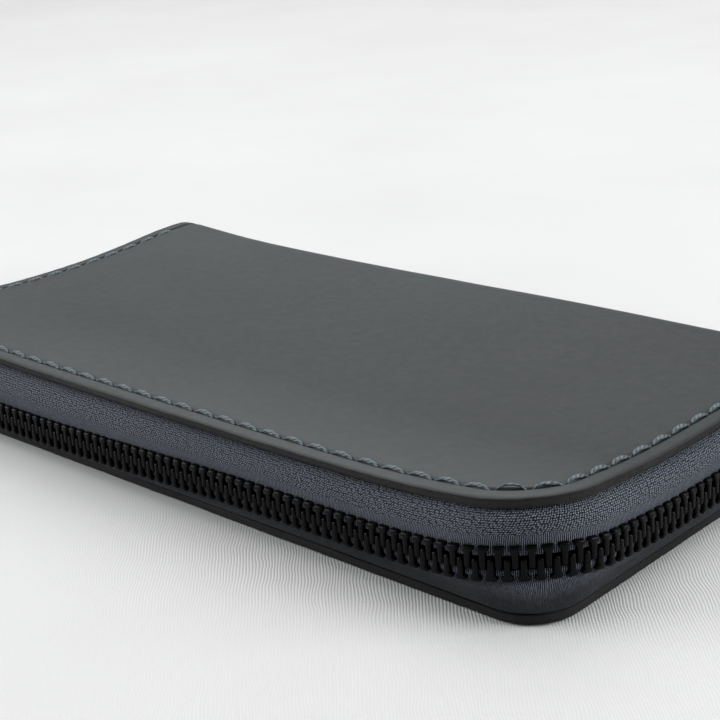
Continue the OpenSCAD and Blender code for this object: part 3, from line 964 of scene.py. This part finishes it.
def hardware():
    for body, prefix, pull in (("zip_slider", "zip", "zip_pull"), ("coin_slider", "coin", "coin_pull")):
        rounded_copy(f"{prefix}_slider_body", f"{prefix}_slider", PULL_MAT, body, "pull_metal", 0.22)
        rounded_copy(f"{prefix}_slider_bridge", f"{prefix}_bridge", PULL_MAT, body, "pull_metal", 0.18)
        rounded_copy(pull, f"{prefix}_puller", PULL_MAT, pull, "pull_metal", 0.2)
    for stop, body in (("zip_top_stop_lower", "lower"), ("zip_top_stop_upper", "upper"),
                       ("zip_bottom_stop", "lower"), ("coin_stops", "purse")):
        rounded_copy(stop, f"{stop}_round", TEETH_MAT, body, "zip_teeth", 0.15)


# ---- Inside ----

def rounded_ring(low, high, radius, shrink, step):
    """Points (y, z) round a rectangle with rounded corners, drawn in by shrink."""
    y0, y1, z0, z1 = low.y + shrink, high.y - shrink, low.z + shrink, high.z - shrink
    r = radius - shrink
    corners = [(y1 - r, z0 + r, -90), (y1 - r, z1 - r, 0), (y0 + r, z1 - r, 90), (y0 + r, z0 + r, 180)]
    points = []
    for k, (cy, cz, start) in enumerate(corners):
        for i in range(4):
            turn = math.radians(start + 30 * i)
            points.append((cy + r * math.cos(turn), cz + r * math.sin(turn)))
        ny, nz, start = corners[(k + 1) % 4]
        turn = math.radians(start)
        here, there = Vector(points[-1]), Vector((ny + r * math.cos(turn), nz + r * math.sin(turn)))
        count = max(round((there - here).length / step), 1)
        points += [tuple(here.lerp(there, i / count)) for i in range(1, count)]
    return points


def slab(builder, low, high, radius=0.2, step=3.0, ripple=0.0):
    """A slab with rounded edges, divided finely enough to ripple as cloth does."""
    count = max(round((high.x - low.x) / step), 1)
    cuts = [(low.x, 0.85 * radius), (low.x + 0.3 * radius, 0.3 * radius), (low.x + radius, 0.0)]
    length = high.x - low.x - 2 * radius
    cuts += [(low.x + radius + length * i / count, 0.0) for i in range(1, count)]
    cuts += [(high.x - radius, 0.0), (high.x - 0.3 * radius, 0.3 * radius), (high.x, 0.85 * radius)]
    verts = []
    for x, shrink in cuts:
        for y, z in rounded_ring(low, high, radius, shrink, step):
            wave = noise.noise(Vector((x * 0.06, y * 0.09, low.z))) * 0.7
            wave += noise.noise(Vector((x * 0.25, y * 0.2, low.z + 5))) * 0.3
            verts.append(Vector((x, y, z + ripple * wave)))
    builder.add(verts, tube_faces(len(cuts), len(verts) // len(cuts)))


def dash(builder, start, end, up, width=0.42):
    """One machine stitch: a short thread with tapered ends, half sunk in the cloth or leather."""
    side = (end - start).cross(up).normalized()
    rings = [(0.0, 0.25, -0.16), (0.12, 0.8, 0.02), (0.35, 1.0, 0.1), (0.65, 1.0, 0.1),
             (0.88, 0.8, 0.02), (1.0, 0.25, -0.16)]
    verts = []
    for t, fat, rise in rings:
        for j in range(8):
            turn = math.pi / 4 * j
            spread = side * math.cos(turn) + up * math.sin(turn) * 0.7
            verts.append(start.lerp(end, t) + up * rise + spread * width / 2 * fat)
    builder.add(verts, tube_faces(len(rings), 8))


def seam(builder, start, end, up, pitch=2.6, share=0.78):
    """A straight row of machine stitches."""
    start, end, up = Vector(start), Vector(end), Vector(up)
    count = max(int((end - start).length / pitch), 1)
    for i in range(count):
        dash(builder, start.lerp(end, i / count), start.lerp(end, (i + share) / count), up)


POCKETS = 4


def pocket_box(i):
    return box_mm(f"card_pocket_lower_{i + 1}")


def card_pocket(i):
    """One strip of card pockets, with a creased line along its mouth, which bows a little between
    the seams at its ends and in its middle."""
    low, high = pocket_box(i)
    across = [(0.16, 0.0), (0.04, 0.05), (0.0, 0.22), (0.03, 0.42), (0.14, 0.56), (0.3, 0.6),
              (1.2, 0.6), (1.42, 0.5), (1.58, 0.45), (1.74, 0.5), (1.96, 0.6), (6.0, 0.6),
              (high.y - low.y, 0.6), (high.y - low.y, 0.0), (6.0, 0.0)]
    count = 48
    verts = []
    for j in range(count + 1):
        x = low.x + (high.x - low.x) * j / count
        bow = math.sin(math.pi * min(abs(x) / (high.x - 1.5), 1.0)) ** 2
        bow *= 1 + 0.4 * noise.noise(Vector((x * 0.03, i * 2.0, 0.0)))
        for reach, height in across:
            near = 1 - smooth(0, 8, reach)
            verts.append(Vector((x, low.y + reach + 0.5 * bow * near,
                                 low.z + height + 0.16 * bow * near)))
    return verts, tube_faces(count + 1, len(across))


def pocket_seams(builder):
    """The stitches that hold the card pockets down, at both ends and in the middle."""
    for i in range(POCKETS):
        low, high = pocket_box(i)
        back = pocket_box(i + 1)[0].y if i + 1 < POCKETS else high.y
        for x in (low.x + 1.5, 0.0, high.x - 1.5):
            seam(builder, (x, low.y + 0.6, high.z), (x, back - 0.4, high.z), (0, 0, 1))


# How thick the purse's cloth is
PURSE_WALL = 0.6


def gusset(side, upper):
    """The folded strip between the card pockets and the coin purse at one end. It is sewn down
    beside the pockets and beside the purse, and its fold points inwards."""
    low, high = box_mm("gusset_right_lower")
    purse = box_mm("purse_side_right")[1].x
    fold = low.x
    stack = pocket_box(POCKETS - 1)[1].z
    wall = box_mm("purse_bottom")[0].z - PURSE_WALL
    line = [(high.x + 0.7, PANEL_HIGH.z + 0.15), (high.x + 0.6, stack - 1.0), (high.x + 0.2, stack - 0.1)]
    legs = 10
    edge, first, middle, last = high.x - 0.3, stack + 0.15, (stack + wall) / 2, wall - 0.15
    line += [(edge - (edge - fold) * i / legs, first + (middle - first) * i / legs)
             for i in range(legs + 1)]
    line += [(fold + (purse - fold) * i / legs, middle + (last - middle) * i / legs)
             for i in range(1, legs + 1)]
    line += [(purse + 0.35, wall + 0.1), (purse + 0.4, wall + 1.2), (purse + 0.4, wall + 2.3)]
    half, outer, inner = 0.09, [], []
    for k, (x, z) in enumerate(line):
        ahead, behind = line[min(k + 1, len(line) - 1)], line[max(k - 1, 0)]
        out = Vector((behind[1] - ahead[1], ahead[0] - behind[0])).normalized() * half
        outer.append((x + out.x, z + out.y))
        inner.append((x - out.x, z - out.y))
    steps = 24
    ys = [low.y + (high.y - low.y) * j / steps for j in range(steps + 1)]
    rows = [[Vector((side * x, y, z)) for x, z in outer + inner[::-1]] for y in ys]
    builder = Builder()
    builder.add(*swept(rows))
    end, name = "right" if side > 0 else "left", NAMES[upper]
    obj = builder.finish(f"folded_gusset_{end}_{name}", LINING_MAT, upper)
    fix_normals(obj)
    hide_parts(f"gusset_{end}_{name}")
    if upper:
        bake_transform(obj)
    else:
        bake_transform(obj)


def coin_purse():
    """The cloth purse: two walls that ripple a little, with sewn edges, sides and a bottom."""
    wall_low, wall_high = box_mm("purse_wall_lower")
    floor_z = box_mm("purse_bottom")[0].z - PURSE_WALL
    for upper in (False, True):
        name = NAMES[upper]
        cloth, rows = Builder(), Builder()
        slab(cloth, Vector((wall_low.x, wall_low.y, floor_z)),
             Vector((wall_high.x, wall_high.y, floor_z + PURSE_WALL)), 0.25, ripple=0.12)
        slab(cloth, wall_low, Vector((wall_high.x, wall_low.y + PURSE_WALL, floor_z + PURSE_WALL)), 0.22)
        under = (0, 0, -1)
        left, right = wall_low.x + 2.2, wall_high.x - 2.2
        front, back = wall_low.y + 2.4, wall_high.y - 2.2
        seam(rows, (left, front, floor_z), (right, front, floor_z), under)
        for x in (left, right):
            seam(rows, (x, front, floor_z), (x, back, floor_z), under)
        lip_z = wall_low.z + 0.5
        seam(rows, (left, wall_low.y, lip_z), (right, wall_low.y, lip_z), (0, -1, 0))
        wall_obj = cloth.finish(f"purse_cloth_{name}", LINING_MAT, upper)
        place_piece(wall_obj, "lining", "purse", f"purse_wall_{name}")
        place_piece(rows.finish(f"purse_seams_{name}", THREAD_MAT, upper), "thread", "purse")
    for cad_node in ("purse_bottom", "purse_side_left", "purse_side_right"):
        builder = Builder()
        slab(builder, *box_mm(cad_node))
        place_piece(builder.finish(f"{cad_node}_cloth", LINING_MAT), "lining", "purse", cad_node)


COIN_SCALE = 0.75


def coin_teeth(upper):
    """The teeth of the coin zip, which runs along X."""
    name = NAMES[upper]
    low, high = box_mm(f"coin_teeth_{name}")
    middle_y = (low.y + high.y) / 2
    pattern, faces = tooth_mesh()
    pitch = TOOTH_PITCH * COIN_SCALE
    edge = 0.85 * COIN_SCALE
    count = round((high.x - low.x - 2 * edge) / pitch)
    builder = Builder()
    for i in range(count + 1):
        x = low.x + edge + i * pitch
        builder.add([(x + a * COIN_SCALE, middle_y - out * COIN_SCALE, MID + h * COIN_SCALE)
                     for a, out, h in pattern], faces)
    obj = builder.finish(f"coin_zip_teeth_{name}", TEETH_MAT, upper)
    fix_normals(obj)
    place_piece(obj, "zip_teeth", "purse", f"coin_teeth_{name}")


def inside():
    for upper in (False, True):
        name = NAMES[upper]
        for i in range(POCKETS):
            builder = Builder()
            builder.add(*card_pocket(i))
            obj = builder.finish(f"pocket_strip_{name}_{i + 1}", INNER_MAT, upper)
            fix_normals(obj)
            place_piece(obj, "inner_leather", name, f"card_pocket_{name}_{i + 1}")
        rows = Builder()
        pocket_seams(rows)
        place_piece(rows.finish(f"pocket_seams_{name}", THREAD_MAT, upper), "thread", name)
        rounded_copy(f"panel_{name}", f"inner_panel_{name}", INNER_MAT, name, "inner_leather", 0.25)
        for side in (1, -1):
            gusset(side, upper)
        coin_teeth(upper)
    coin_purse()


# ---- CAD pieces that stay ----

def dress(cad_node, material):
    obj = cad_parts[cad_node]
    obj.data.materials.clear()
    obj.data.materials.append(material)


camera()
lights()
floor()
covers()
for on_top in (False, True):
    stitching(on_top)
    tape(on_top)
    for beside_slider in (False, True):
        teeth_row(on_top, beside_slider)
    dress(f"stiffener_{NAMES[on_top]}", BOARD_MAT)
    dress(f"coin_tape_{NAMES[on_top]}", COIN_TAPE_MAT)
hardware()
inside()
